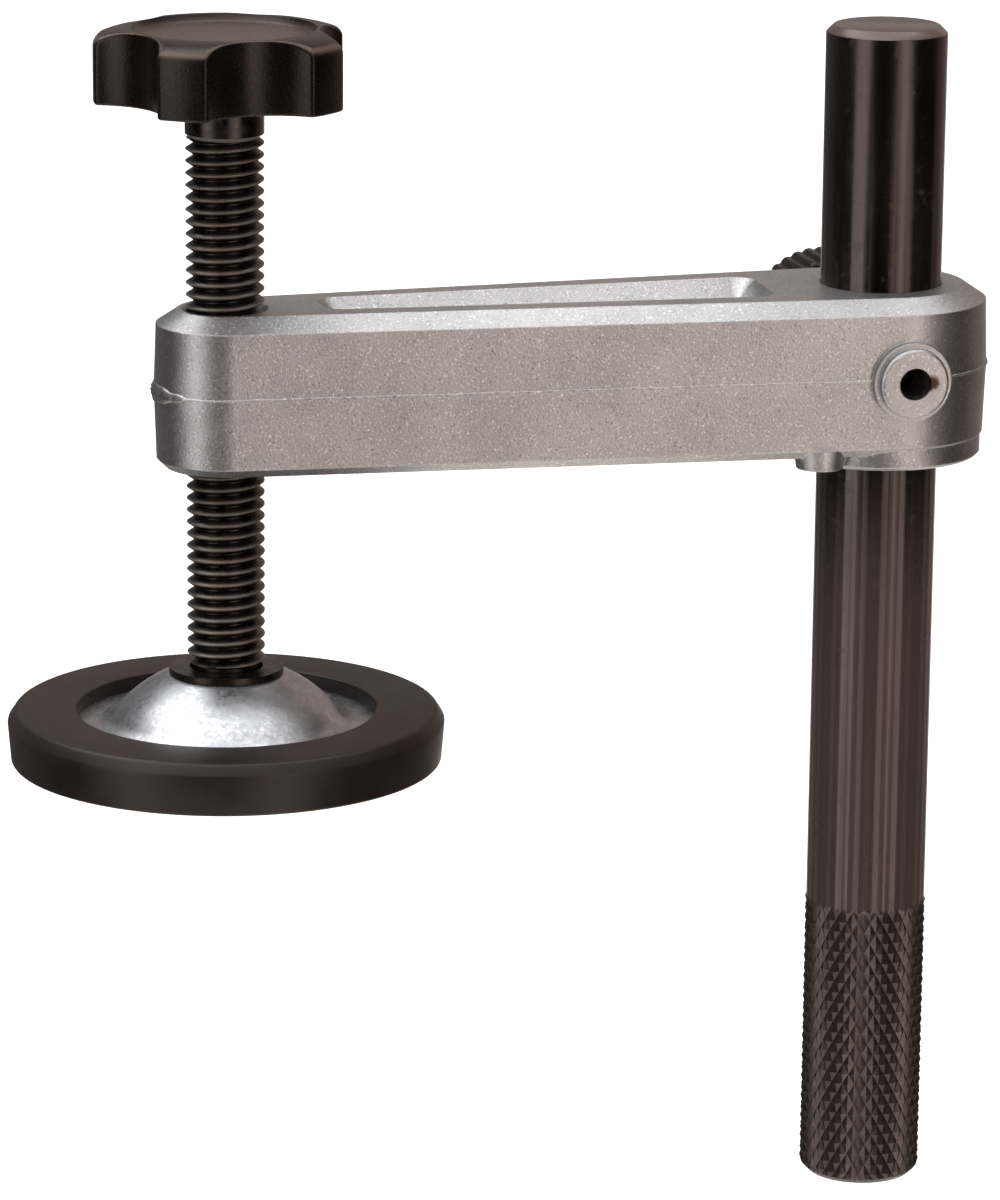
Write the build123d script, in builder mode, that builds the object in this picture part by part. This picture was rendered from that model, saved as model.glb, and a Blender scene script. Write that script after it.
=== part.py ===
from build123d import *
import math
import os

os.makedirs("parts", exist_ok=True)

# A bench hold-down clamp. A cast arm slides on a round steel post whose knurled end
# drops into a bench hole. A screw spindle at the arm's far end carries a five-lobe
# knob on top and a round swivelling pad below, and a ribbed knob locks the arm.
# The origin is on the post's axis at the top of the knurl, level with the bench top.
# +Z is up, the arm reaches towards -X and the lock knob is on the +Y side.

# Post
post_diameter = 18.6
knurl_diameter = 19.04
knurl_length = 45.0
post_above_knurl = 139.0
post_chamfer = 1.2
knurl_step = 0.5

# Arm
arm_underside = 75.0
arm_height = 24.1
arm_reach = 102.8
arm_spindle_radius = 10.8
arm_post_radius = 16.6
arm_draft = 2.0
arm_bevel_across = 3.2
arm_bevel_down = 2.2
arm_foot_bevel = 1.3
bore_chamfer = 0.6
post_bore_clearance = 0.08
thread_clearance = 0.06

# Pocket in the arm's top
pocket_spindle_gap = 14.6
pocket_post_gap = 18.6
pocket_narrow_width = 9.2
pocket_wide_width = 16.0
pocket_depth = 3.0
pocket_slope = 42.0
pocket_corner = 3.4

# Underside boss round the post, with the ejector pad beside it
foot_boss_drop = 2.3
foot_boss_inset = 0.7
foot_boss_bevel = 0.5
ejector_pad_diameter = 7.2
ejector_pad_reach = 12.9
ejector_pad_front = 12.0
ejector_pad_drop = 1.9
ejector_pad_draft = 10.0

# Side bosses for the cross screw
boss_diameter = 12.3
boss_step = 0.8
boss_face_diameter = 10.7
boss_face_step = 1.3
boss_bevel = 0.35
cross_thread_diameter = 6.0
cross_minor_diameter = 4.95
cross_relief_diameter = 6.4
cross_relief_depth = 1.0
cross_height = 11.8

# Lock screw and lock knob
lock_thread_clearance = 0.05
lock_tip_gap = 0.1
lock_knob_gap = 1.6
lock_knob_diameter = 23.6
lock_knob_length = 11.0
lock_knob_bevel = 1.2
lock_rib_count = 36
lock_rib_groove = 1.2
lock_hub_diameter = 11.0
lock_hub_length = 1.6
lock_cap_recess_diameter = 15.0
lock_cap_recess_depth = 1.0
lock_screw_bite = 8.0
lock_tip_chamfer = 0.8
lock_insert_clearance = 0.02

# Spindle
thread_diameter = 11.8
thread_top = 25.8
thread_below_arm = 30.1
shank_diameter = 11.9
shank_length = 5.3
shank_chamfer = 0.7
shank_chamfer_inset = 0.9
thread_end_chamfer = 0.7
neck_diameter = 10.0
neck_gap = 1.2
clip_groove_diameter = 8.4
clip_groove_width = 1.2
neck_end_length = 1.3
neck_end_chamfer = 0.5

# Spindle knob
knob_diameter = 39.0
knob_height = 11.2
knob_lobes = 5
knob_lobe_angle = 23.0
knob_lobe_direction = -120.0
knob_scallop_depth = 3.6
knob_edge_drop = 1.7
knob_crown_diameter = 33.0
knob_crown_drop = 0.5
knob_rim_bevel = 1.2
knob_foot_bevel = 0.6
knob_corner_round = 0.6
knob_dish_diameter = 27.6
knob_dish_depth = 1.1
knob_dish_slope = 0.7
knob_core_outer_diameter = 25.0
knob_core_inner_diameter = 17.0
knob_core_depth = 6.0
knob_insert_depth = 8.0
knob_insert_clearance = 0.02

# Swivel: loose top washer, pressed dome plate, round-crowned seat and clip
washer_diameter = 17.4
washer_thickness = 1.0
washer_bore_clearance = 0.6
plate_thickness = 1.2
dome_radius = 22.5
dome_drop = 7.75
dome_seat_diameter = 17.3
dome_hole_diameter = 13.2
dome_flange_diameter = 50.0
dome_foot_bevel = 0.8
dome_shoulder_bevel = 0.5
crown_radius = 8.5
crown_clearance = 0.08
crown_height = 4.1
crown_flat_drop = 0.7
crown_skirt_height = 1.9
seat_bore_clearance = 0.06
clip_diameter = 14.0
clip_thickness = 1.0
clip_radial_clearance = 0.05
clip_opening = 5.0
clip_side_clearance = 0.1

# Pad
pad_diameter = 66.6
pad_top_diameter = 64.2
pad_foot_diameter = 64.2
pad_thickness = 7.95
pad_shoulder_drop = 1.8
pad_opening_diameter = 45.6
pad_lip_thickness = 2.25
pad_groove_clearance = 0.1
pad_well_diameter = 34.0
pad_well_depth = 1.5
pad_shoulder_bevel = 1.0
pad_foot_bevel = 0.5

# Heights and radii that follow from the sizes above
post_radius = post_diameter / 2
knurl_radius = knurl_diameter / 2
thread_radius = thread_diameter / 2
shank_radius = shank_diameter / 2
neck_radius = neck_diameter / 2
arm_top = arm_underside + arm_height
parting_height = arm_underside + arm_height / 2
thread_start_z = arm_top + thread_top
knob_underside = thread_start_z + shank_length
knob_top = knob_underside + knob_height
knob_radius = knob_diameter / 2
knob_crown_radius = knob_crown_diameter / 2
knob_dish_floor_radius = knob_dish_diameter / 2 - knob_dish_slope
lobe_pitch = 360 / knob_lobes
scallop_half_angle = math.radians((lobe_pitch - knob_lobe_angle) / 2)
scallop_half_width = knob_radius * math.sin(scallop_half_angle)
scallop_radius = (scallop_half_width**2 + knob_scallop_depth**2) / (2 * knob_scallop_depth)
scallop_floor = knob_radius * math.cos(scallop_half_angle) - knob_scallop_depth
scallop_centre = scallop_floor + scallop_radius
thread_end_z = arm_underside - thread_below_arm
washer_top = thread_end_z - neck_gap
dome_top = washer_top - washer_thickness
dome_hole_radius = dome_hole_diameter / 2
dome_foot = dome_top - dome_drop
dome_centre = dome_top - math.sqrt(dome_radius**2 - (dome_seat_diameter / 2) ** 2)
hole_edge = dome_top - plate_thickness
tilt_centre = hole_edge - math.sqrt(crown_radius**2 - dome_hole_radius**2)
seat_top = hole_edge + crown_flat_drop
seat_bottom = seat_top - crown_height
clip_top = seat_bottom - clip_side_clearance
groove_top = clip_top + (clip_groove_width - clip_thickness) / 2
neck_end = groove_top - clip_groove_width - neck_end_length
pad_top = dome_foot + pad_lip_thickness
pad_bottom = pad_top - pad_thickness
pad_opening_radius = pad_opening_diameter / 2
pad_groove_radius = dome_flange_diameter / 2 + pad_groove_clearance
cross_z = arm_underside + cross_height
cross_relief_y = post_radius + cross_relief_depth
boss_ring_y = arm_post_radius + boss_step
boss_face_y = boss_ring_y + boss_face_step
lock_knob_start = boss_face_y + lock_knob_gap
lock_rim_start = lock_knob_start + lock_hub_length
lock_knob_end = lock_rim_start + lock_knob_length
lock_screw_radius = cross_thread_diameter / 2 - lock_thread_clearance
lock_tip_y = post_radius + lock_tip_gap
spindle_axis = Axis((-arm_reach, 0, 0), (0, 0, 1))
spindle_section = Plane((-arm_reach, 0, 0), (1, 0, 0), (0, -1, 0))


def ball_width(ball_radius, centre_z, z):
    """Half width of a ball at one height."""
    return math.sqrt(ball_radius**2 - (z - centre_z) ** 2)


def ball_arc(ball_radius, centre_z, z_from, z_to, mode=Mode.ADD):
    """Arc of a ball's outline between two heights, as drawn in the XZ plane."""
    z_mid = (z_from + z_to) / 2
    return ThreePointArc(
        (ball_width(ball_radius, centre_z, z_from), z_from),
        (ball_width(ball_radius, centre_z, z_mid), z_mid),
        (ball_width(ball_radius, centre_z, z_to), z_to),
        mode=mode,
    )



def corner_of(section, place):
    """The corner of a section that lies nearest to a place in its plane."""
    return section.vertices().sort_by_distance(place)[0]


# Post: a turned bar whose lower length stands proud as the knurl's crests
with BuildPart() as post:
    with BuildSketch(Plane.XZ):
        with BuildLine():
            Polyline(
                (0, -knurl_length),
                (knurl_radius - post_chamfer, -knurl_length),
                (knurl_radius, post_chamfer - knurl_length),
                (knurl_radius, 0),
                (post_radius, knurl_step),
                (post_radius, post_above_knurl - post_chamfer),
                (post_radius - post_chamfer, post_above_knurl),
                (0, post_above_knurl),
                close=True,
            )
        make_face()
    revolve(axis=Axis.Z)
post.part.label = "post"

# Arm: a drafted casting, widest at its parting line, hollowed on top and bossed
# round the post and on both sides for the cross screw
with BuildPart() as arm:
    with BuildSketch(Plane.XY.offset(parting_height)) as arm_outline:
        with Locations((-arm_reach, 0)):
            Circle(arm_spindle_radius)
        Circle(arm_post_radius)
        make_hull()
    extrude(amount=arm_height / 2, taper=arm_draft)
    mirror(about=Plane.XY.offset(parting_height))
    foot_face = arm.faces().sort_by(Axis.Z)[0]
    chamfer(foot_face.edges(), length=arm_foot_bevel)
    top_face = arm.faces().sort_by(Axis.Z)[-1]
    chamfer(
        top_face.edges(),
        length=arm_bevel_across,
        length2=arm_bevel_down,
        reference=top_face,
    )

    with BuildSketch(Plane.XY.offset(arm_underside - foot_boss_drop)):
        Circle(arm_post_radius - foot_boss_inset)
    extrude(amount=foot_boss_drop + arm_foot_bevel + foot_boss_inset)
    chamfer(arm.edges().group_by(Axis.Z)[0], length=foot_boss_bevel)
    with BuildSketch(Plane.XY.offset(arm_underside - ejector_pad_drop)):
        with Locations((-ejector_pad_reach, -ejector_pad_front)):
            Circle(ejector_pad_diameter / 2)
    extrude(amount=ejector_pad_drop + arm_foot_bevel, taper=-ejector_pad_draft)

    for side in (-1, 1):
        with BuildSketch(Plane((0, side * boss_ring_y, cross_z), (1, 0, 0), (0, side, 0))):
            Circle(boss_diameter / 2)
        extrude(amount=cross_relief_y - boss_ring_y)
        with BuildSketch(Plane((0, side * boss_face_y, cross_z), (1, 0, 0), (0, side, 0))):
            Circle(boss_face_diameter / 2)
        extrude(amount=-boss_face_step - boss_step)
        outermost = arm.edges().filter_by(GeomType.CIRCLE).sort_by(Axis.Y)[0 if side < 0 else -1]
        chamfer(outermost, length=boss_bevel)

    with BuildSketch(Plane.XY.offset(arm_top - pocket_depth)) as pocket_outline:
        with BuildLine():
            Polyline(
                (-arm_reach + pocket_spindle_gap, -pocket_narrow_width / 2),
                (-pocket_post_gap, -pocket_wide_width / 2),
                (-pocket_post_gap, pocket_wide_width / 2),
                (-arm_reach + pocket_spindle_gap, pocket_narrow_width / 2),
                close=True,
            )
        make_face()
        fillet(pocket_outline.vertices(), radius=pocket_corner)
        offset(amount=-pocket_depth * math.tan(math.radians(pocket_slope)), mode=Mode.REPLACE)
    extrude(amount=pocket_depth, taper=-pocket_slope, mode=Mode.SUBTRACT)

    with BuildSketch(Plane.XY.offset(arm_underside - foot_boss_drop)):
        Circle(post_radius + post_bore_clearance)
    extrude(amount=arm_height + foot_boss_drop, mode=Mode.SUBTRACT)
    with BuildSketch(Plane.XY.offset(arm_underside)):
        with Locations((-arm_reach, 0)):
            Circle(thread_radius + thread_clearance)
    extrude(amount=arm_height, mode=Mode.SUBTRACT)
    with BuildSketch(Plane((0, -boss_face_y, cross_z), (1, 0, 0), (0, -1, 0))):
        Circle(cross_minor_diameter / 2)
    extrude(amount=-boss_face_y, mode=Mode.SUBTRACT)
    with BuildSketch(Plane((0, -cross_relief_y, cross_z), (1, 0, 0), (0, -1, 0))):
        Circle(cross_relief_diameter / 2)
    extrude(amount=-cross_relief_y, mode=Mode.SUBTRACT)
    with BuildSketch(Plane((0, boss_face_y, cross_z), (1, 0, 0), (0, 1, 0))):
        Circle(cross_thread_diameter / 2)
    extrude(amount=-boss_face_y, mode=Mode.SUBTRACT)
    post_bore_mouth = arm.edges().sort_by_distance((post_radius, 0, arm_top))[0]
    spindle_bore_rim = thread_radius + thread_clearance - arm_reach
    spindle_bore_mouths = [
        arm.edges().sort_by_distance((spindle_bore_rim, 0, height))[0]
        for height in (arm_underside, arm_top)
    ]
    chamfer([post_bore_mouth, *spindle_bore_mouths], length=bore_chamfer)
arm.part.label = "arm"

# Spindle: shank in the knob, threaded length, and the plain neck that carries the pad
with BuildPart() as spindle:
    with BuildSketch(spindle_section):
        with BuildLine():
            Polyline(
                (0, neck_end),
                (neck_radius - neck_end_chamfer, neck_end),
                (neck_radius, neck_end + neck_end_chamfer),
                (neck_radius, groove_top - clip_groove_width),
                (clip_groove_diameter / 2, groove_top - clip_groove_width),
                (clip_groove_diameter / 2, groove_top),
                (neck_radius, groove_top),
                (neck_radius, thread_end_z),
                (thread_radius - thread_end_chamfer, thread_end_z),
                (thread_radius, thread_end_z + thread_end_chamfer),
                (thread_radius, thread_start_z),
                (shank_radius - shank_chamfer_inset, thread_start_z),
                (shank_radius, thread_start_z + shank_chamfer),
                (shank_radius, knob_underside + knob_insert_depth),
                (0, knob_underside + knob_insert_depth),
                close=True,
            )
        make_face()
    revolve(axis=spindle_axis)
spindle.part.label = "spindle"

# Spindle knob: five lobes with scooped sides, a crowned top and a shallow round dish
with BuildPart() as spindle_knob:
    with BuildSketch(Plane((-arm_reach, 0, knob_underside), (1, 0, 0), (0, 0, 1))) as lobes:
        Circle(knob_radius)
        with PolarLocations(
            scallop_centre, knob_lobes, start_angle=knob_lobe_direction + lobe_pitch / 2
        ):
            Circle(scallop_radius, mode=Mode.SUBTRACT)
        fillet(lobes.vertices(), radius=knob_corner_round)
    extrude(amount=knob_height)
    with BuildSketch(spindle_section):
        with BuildLine():
            Polyline(
                (0, knob_underside),
                (knob_radius - knob_foot_bevel, knob_underside),
                (knob_radius, knob_underside + knob_foot_bevel),
                (knob_radius, knob_top - knob_edge_drop - knob_rim_bevel),
                (knob_radius - knob_rim_bevel, knob_top - knob_edge_drop),
                (knob_crown_radius, knob_top - knob_crown_drop),
                (knob_dish_diameter / 2, knob_top),
                (knob_dish_floor_radius, knob_top - knob_dish_depth),
                (0, knob_top - knob_dish_depth),
                close=True,
            )
        make_face()
    revolve(axis=spindle_axis, mode=Mode.INTERSECT)
    with BuildSketch(Plane((-arm_reach, 0, knob_underside), (1, 0, 0), (0, 0, 1))):
        Circle(knob_core_outer_diameter / 2)
        Circle(knob_core_inner_diameter / 2, mode=Mode.SUBTRACT)
    extrude(amount=knob_core_depth, mode=Mode.SUBTRACT)
    with BuildSketch(Plane((-arm_reach, 0, knob_underside), (1, 0, 0), (0, 0, 1))):
        Circle(shank_radius + knob_insert_clearance)
    extrude(amount=knob_insert_depth + knob_insert_clearance, mode=Mode.SUBTRACT)
spindle_knob.part.label = "spindle_knob"

# Washer lying loose on the dome, round the spindle's neck
with BuildPart() as swivel_washer:
    with BuildSketch(Plane((-arm_reach, 0, dome_top), (1, 0, 0), (0, 0, 1))):
        Circle(washer_diameter / 2)
        Circle(neck_radius + washer_bore_clearance, mode=Mode.SUBTRACT)
    extrude(amount=washer_thickness)
swivel_washer.part.label = "swivel_washer"

# Dome plate: pressed sheet with a flat seat, a round dome and a wide flange
with BuildPart() as pad_dome:
    with BuildSketch(spindle_section) as dome_section:
        with BuildLine():
            outer_arc = ball_arc(dome_radius, dome_centre, dome_top, dome_foot)
            inner_arc = ball_arc(
                dome_radius - plate_thickness,
                dome_centre,
                dome_top - plate_thickness,
                dome_foot - plate_thickness,
                mode=Mode.PRIVATE,
            )
            Polyline(
                outer_arc @ 1,
                (dome_flange_diameter / 2, dome_foot),
                (dome_flange_diameter / 2, dome_foot - plate_thickness),
                inner_arc @ 1,
                inner_arc @ 0.5,
                inner_arc @ 0,
                (dome_hole_radius, dome_top - plate_thickness),
                (dome_hole_radius, dome_top),
                outer_arc @ 0,
            )
        make_face()
        chamfer(corner_of(dome_section, outer_arc @ 1), length=dome_foot_bevel)
        chamfer(corner_of(dome_section, outer_arc @ 0), length=dome_shoulder_bevel)
    revolve(axis=spindle_axis)
pad_dome.part.label = "pad_dome"

# Seat inside the dome: its round crown stands in the plate's hole and lets it tilt
with BuildPart() as swivel_seat:
    with BuildSketch(spindle_section):
        with BuildLine():
            crown_arc = ball_arc(
                crown_radius - crown_clearance, tilt_centre, seat_top, seat_bottom + crown_skirt_height
            )
            Polyline(
                crown_arc @ 1,
                ((crown_arc @ 1).X, seat_bottom),
                (neck_radius + seat_bore_clearance, seat_bottom),
                (neck_radius + seat_bore_clearance, seat_top),
                crown_arc @ 0,
            )
        make_face()
    revolve(axis=spindle_axis)
swivel_seat.part.label = "swivel_seat"

# Retaining clip: an open ring in the neck's groove
with BuildPart() as retaining_clip:
    with BuildSketch(Plane((-arm_reach, 0, clip_top), (1, 0, 0), (0, 0, 1))):
        Circle(clip_diameter / 2)
        Circle(clip_groove_diameter / 2 + clip_radial_clearance, mode=Mode.SUBTRACT)
        Rectangle(
            clip_diameter, clip_opening, align=(Align.MIN, Align.CENTER), mode=Mode.SUBTRACT
        )
    extrude(amount=-clip_thickness)
retaining_clip.part.label = "retaining_clip"

# Pad: a moulded cap with a flat foot, gripping the dome plate's flange under its lip
with BuildPart() as pad_ring:
    with BuildSketch(spindle_section) as pad_section:
        with BuildLine():
            Polyline(
                (0, pad_bottom),
                (pad_foot_diameter / 2, pad_bottom),
                (pad_diameter / 2, pad_top - pad_shoulder_drop),
                (pad_top_diameter / 2, pad_top),
                (pad_opening_radius, pad_top),
                (pad_opening_radius, dome_foot),
                (pad_groove_radius, dome_foot),
                (pad_groove_radius, dome_foot - plate_thickness),
                (pad_well_diameter / 2, dome_foot - plate_thickness),
                (pad_well_diameter / 2, dome_foot - plate_thickness - pad_well_depth),
                (0, dome_foot - plate_thickness - pad_well_depth),
                close=True,
            )
        make_face()
        pad_foot_rim = (pad_foot_diameter / 2, pad_bottom)
        pad_shoulder_rim = (pad_diameter / 2, pad_top - pad_shoulder_drop)
        chamfer(corner_of(pad_section, pad_foot_rim), length=pad_foot_bevel)
        chamfer(corner_of(pad_section, pad_shoulder_rim), length=pad_shoulder_bevel)
    revolve(axis=spindle_axis)
pad_ring.part.label = "pad_ring"

# Lock knob: a round grip with straight ribs along its axis and a hub towards the arm
with BuildPart() as lock_knob:
    with BuildSketch(Plane((0, lock_rim_start, cross_z), (1, 0, 0), (0, 1, 0))):
        Circle(lock_knob_diameter / 2)
    extrude(amount=lock_knob_length)
    chamfer(lock_knob.edges().group_by(Axis.Y)[-1], length=lock_knob_bevel)
    with BuildSketch(Plane((0, lock_rim_start, cross_z), (1, 0, 0), (0, 1, 0))):
        with PolarLocations(lock_knob_diameter / 2, lock_rib_count):
            Rectangle(lock_rib_groove, lock_rib_groove, rotation=45)
    extrude(amount=lock_knob_length, mode=Mode.SUBTRACT)
    with BuildSketch(Plane((0, lock_knob_end, cross_z), (1, 0, 0), (0, 1, 0))):
        Circle(lock_cap_recess_diameter / 2)
    extrude(amount=-lock_cap_recess_depth, mode=Mode.SUBTRACT)
    with BuildSketch(Plane((0, lock_knob_start, cross_z), (1, 0, 0), (0, 1, 0))):
        Circle(lock_hub_diameter / 2)
    extrude(amount=lock_hub_length)
    with BuildSketch(Plane((0, lock_knob_start, cross_z), (1, 0, 0), (0, 1, 0))):
        Circle(lock_screw_radius + lock_insert_clearance)
    extrude(amount=lock_screw_bite + lock_insert_clearance, mode=Mode.SUBTRACT)
lock_knob.part.label = "lock_knob"

# Lock screw: runs through the back boss and bears on the post
with BuildPart() as lock_screw:
    with BuildSketch(Plane((0, lock_tip_y, cross_z), (1, 0, 0), (0, 1, 0))):
        Circle(lock_screw_radius)
    extrude(amount=lock_knob_start + lock_screw_bite - lock_tip_y)
    chamfer(lock_screw.edges().group_by(Axis.Y)[0], length=lock_tip_chamfer)
lock_screw.part.label = "lock_screw"

for piece in (
    post,
    arm,
    spindle,
    spindle_knob,
    swivel_washer,
    pad_dome,
    swivel_seat,
    retaining_clip,
    pad_ring,
    lock_knob,
    lock_screw,
):
    export_step(piece.part, f"parts/{piece.part.label}.step")
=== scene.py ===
import math

import bmesh
import bpy
from mathutils import Matrix, Vector, noise


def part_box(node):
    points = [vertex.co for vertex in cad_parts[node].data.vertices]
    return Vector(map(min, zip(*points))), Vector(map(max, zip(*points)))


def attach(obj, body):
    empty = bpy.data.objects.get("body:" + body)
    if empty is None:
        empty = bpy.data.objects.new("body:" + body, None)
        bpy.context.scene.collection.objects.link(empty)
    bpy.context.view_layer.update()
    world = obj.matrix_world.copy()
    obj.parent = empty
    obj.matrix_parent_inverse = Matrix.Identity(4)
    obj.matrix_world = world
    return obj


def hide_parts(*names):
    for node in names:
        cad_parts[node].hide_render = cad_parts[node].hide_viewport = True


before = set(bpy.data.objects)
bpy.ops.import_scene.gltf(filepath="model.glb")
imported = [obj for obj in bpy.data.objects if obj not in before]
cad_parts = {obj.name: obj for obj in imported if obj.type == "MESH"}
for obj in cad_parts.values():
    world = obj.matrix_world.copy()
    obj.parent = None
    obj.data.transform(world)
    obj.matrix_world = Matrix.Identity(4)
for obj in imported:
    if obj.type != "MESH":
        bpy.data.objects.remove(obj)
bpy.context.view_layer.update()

# Lengths are in metres, in the part's own frame: the origin is on the post's axis at
# the top of the knurl, +Z is up, the arm reaches towards -X, the lock knob is at +Y.
MM = 0.001

# Places that come from the frame
post_low, post_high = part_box("post")
arm_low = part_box("arm")[0]
spindle_low, spindle_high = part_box("spindle")
knob_low, knob_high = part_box("spindle_knob")
dome_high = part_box("pad_dome")[1]
pad_low, pad_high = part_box("pad_ring")
screw_low, screw_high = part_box("lock_screw")
grip_low, grip_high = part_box("lock_knob")
spindle_x = (spindle_low.x + spindle_high.x) / 2
cross_z = (screw_low.z + screw_high.z) / 2

# Post and knurl
KNURL_CREST = post_high.x
POST_RADIUS = 9.3 * MM
POST_CHAMFER = 1.2 * MM
POST_EDGE_BEFORE = 0.1 * MM
POST_EDGE_AFTER = 0.08 * MM
KNURL_STEP = 0.5 * MM
KNURL_DEPTH = 0.5 * MM
KNURL_PITCH = 3.34 * MM
KNURL_DIAMONDS = 30
KNURL_CELLS = 12

# One turn of a thread, as shares of the pitch and of the depth
THREAD_SHAPE = ((0.0, 0.0), (0.05, 0.0), (0.46, 0.95), (0.5, 1.0), (0.56, 1.0), (0.6, 0.95))
SPARE_TURNS = 2
THREAD_OVERLAP = 0.02 * MM

# Spindle
SPINDLE_COLUMNS = 96
THREAD_RADIUS = 5.9 * MM
THREAD_PITCH = 1.84 * MM
THREAD_DEPTH = 1.16 * MM
THREAD_END = 44.35 * MM
THREAD_START = 124.9 * MM
THREAD_END_CHAMFER = 0.45 * MM
SHANK_RADIUS = spindle_high.x - spindle_x
SHANK_CHAMFER = 0.7 * MM
SHANK_INSET = 0.9 * MM
SHANK_EDGE_IN = 0.08 * MM
SHANK_EDGE_HALF = 0.06 * MM
NECK_RADIUS = 5.0 * MM
GROOVE_RADIUS = 4.2 * MM
GROOVE_TOP = 38.1 * MM
GROOVE_WIDTH = 1.2 * MM
NECK_CHAMFER = 0.5 * MM
CORE_RADIUS = 4.6 * MM
CORE_BITE = 0.3 * MM

# Lock screw and lock knob
CROSS_COLUMNS = 64
CROSS_PITCH = 1.0 * MM
CROSS_DEPTH = 0.6 * MM
CROSS_CHAMFER = 0.8 * MM
GRIP_RIBS = 36
GRIP_CELLS = 10
GRIP_RIB_DEPTH = 0.42 * MM
GRIP_RADIUS = 11.8 * MM
GRIP_ROUND = 1.3 * MM
GRIP_SMALL_ROUND = 0.3 * MM
GRIP_HUB_RADIUS = 5.5 * MM
GRIP_HUB_LENGTH = 1.6 * MM
GRIP_BORE = 2.97 * MM
GRIP_BORE_DEPTH = 8.02 * MM
GRIP_CAP_RADIUS = 7.5 * MM
GRIP_CAP_DEPTH = 1.0 * MM

# Spindle knob
KNOB_RADIUS = 19.5 * MM
KNOB_LOBES = 5
KNOB_LOBE_ANGLE = 23.0
KNOB_LOBE_DIRECTION = -120.0
KNOB_SCALLOP_DEPTH = 3.6 * MM
KNOB_CORNER_ROUND = 0.6 * MM
KNOB_SCOOP_EDGE_ROUND = 0.35 * MM
KNOB_LOBE_EDGE_ROUND = 1.2 * MM
KNOB_FOOT_ROUND = 0.5 * MM
KNOB_CROWN_WIDTH = 4.5 * MM
KNOB_CROWN_DROP = 0.9 * MM
KNOB_DISH_RADIUS = 13.8 * MM
KNOB_DISH_DEPTH = 1.1 * MM
KNOB_DISH_SLOPE = 0.7 * MM
KNOB_DISH_FLOOR_ROUND = 0.3 * MM
KNOB_DISH_CREST_ROUND = 0.05 * MM
KNOB_DISH_CREST_STEP = 0.02 * MM
KNOB_DISH_INNER_SHARE = 0.55
KNOB_TOP_SHARES = (0.2, 0.4, 0.6, 0.8)
KNOB_EDGE_STEPS = 6
KNOB_FOOT_STEPS = 4
KNOB_CORE_OUTER = 12.5 * MM
KNOB_CORE_INNER = 8.5 * MM
KNOB_CORE_DEPTH = 6.0 * MM
KNOB_BORE = 5.97 * MM
KNOB_BORE_DEPTH = 8.02 * MM

# Dome plate and pad
PLATE = 1.2 * MM
DOME_RADIUS = 22.5 * MM
DOME_DROP = 7.75 * MM
DOME_SEAT_RADIUS = 8.65 * MM
DOME_HOLE_RADIUS = 6.6 * MM
DOME_FLANGE_RADIUS = dome_high.y
DOME_SHOULDER_ROUND = 0.9 * MM
DOME_FOOT_ROUND = 1.8 * MM
DOME_HOLE_ROUND = 0.1 * MM
DOME_RIM_ROUND = 0.2 * MM
DOME_STEPS = 14
DOME_END_POINTS = 2
PAD_RADIUS = 33.3 * MM
PAD_TOP_RADIUS = 32.1 * MM
PAD_FOOT_RADIUS = 32.8 * MM
PAD_SHOULDER_DROP = 1.8 * MM
PAD_SHOULDER_ROUND = 0.3 * MM
PAD_SMALL_ROUND = 0.5 * MM
PAD_OPENING_RADIUS = 22.8 * MM
PAD_OPENING_ROUND = 0.4 * MM
PAD_GROOVE_RADIUS = 25.1 * MM
PAD_WELL_RADIUS = 17.0 * MM
PAD_WELL_DEPTH = 1.5 * MM

# Casting flash along the arm's parting line
ARM_SPINDLE_RADIUS = 10.8 * MM
ARM_POST_RADIUS = 16.6 * MM
PARTING_Z = 87.05 * MM
FLASH_PROUD = 0.24 * MM
FLASH_HALF_THICKNESS = 0.26 * MM
FLASH_STEP = 0.35 * MM
FLASH_RISE = 0.12 * MM
FLASH_ROOT = 0.3 * MM
BOSS_HALF_WIDTH = 6.1 * MM
ARM_LEAN = math.asin((ARM_POST_RADIUS - ARM_SPINDLE_RADIUS) / -spindle_x)
ARM_FLAT = -spindle_x * math.cos(ARM_LEAN)
NOSE_TURN = math.pi - 2 * ARM_LEAN
FLASH_SECTION = (1.0, 0.8, 0.5, 0.2, -0.1, -0.4, -0.7, -1.0)
FLASH_SPECKS_PAST_NOSE = 6 * MM
FLASH_SPECKS_BEFORE_BOSS = 8 * MM
NUB_START = 128.0
NUB_END = 226.0
NUB_FADE = 36.0
NUB_FULLNESS = 0.6
NUB_PROUD = 0.16 * MM
NUB_HALF_THICKNESS = 1.45 * MM
NUB_DROP = 0.35 * MM

# How many noise cells a metre each unevenness of the flash has
ROUGH_CELLS = 900
FINE_ROUGH_CELLS = 2600
THICKNESS_CELLS = 1400
RISE_CELLS = 160
NUB_PROUD_CELLS = 1100
NUB_THICKNESS_CELLS = 700
SPECK_CELLS = 1300
LUMP_CELLS = 2100

# Camera fitted to the photograph
CAMERA_PLACE = Vector((-0.265393, -0.825809, 0.269139))
CAMERA_YAW = 13.969
CAMERA_PITCH = 14.338
CAMERA_ROLL = 0.512
CAMERA_LENS = 171.54


FLOOR_Z = -80 * MM
FLOOR_HALF_WIDTH = 5.0
TURN = 2 * math.pi
SEGMENTS = 144
MERGE_DISTANCE = 1e-7


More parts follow.
